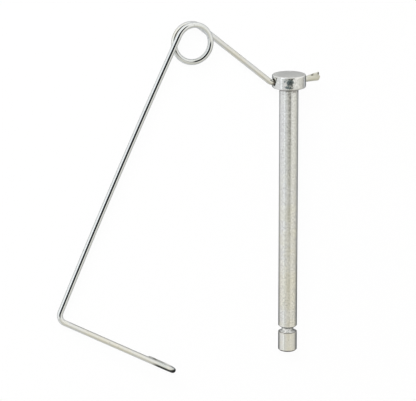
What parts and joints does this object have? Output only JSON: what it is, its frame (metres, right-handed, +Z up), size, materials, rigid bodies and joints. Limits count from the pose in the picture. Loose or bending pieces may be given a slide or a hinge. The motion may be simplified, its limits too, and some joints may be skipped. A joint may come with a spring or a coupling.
{
  "type": "coupling pin",
  "caption": "Headed steel coupling pin with a swinging spring-wire keeper whose hook snaps round a groove near the tip.",
  "frame": {"origin": "on the pin's axis at the underside of its head", "axes": "it lies as it comes to rest on a table: +Z up off the table, +Y along the pin towards its head (1.5 degrees above level), +X along the cross hole (6.5 degrees above level) towards the flattened tail, the keeper out towards -X"},
  "size_m": [0.0977, 0.1169, 0.0113],
  "materials": {
    "headed_pin": "satin bright zinc plate with a fine grain",
    "wire_keeper": "bright zinc plate on drawn spring wire"
  },
  "bodies": {
    "pin": {"headed_pin": "headed_pin"},
    "keeper": {"wire_keeper": "wire_keeper"}
  },
  "joints": [
    {"name": "keeper_swivel", "type": "hinge", "parent": "pin", "child": "keeper", "pos_m": [0, 0.00219, 0.00006], "axis": [-0.9936, 0.003, -0.1132], "continuous": true}
  ]
}
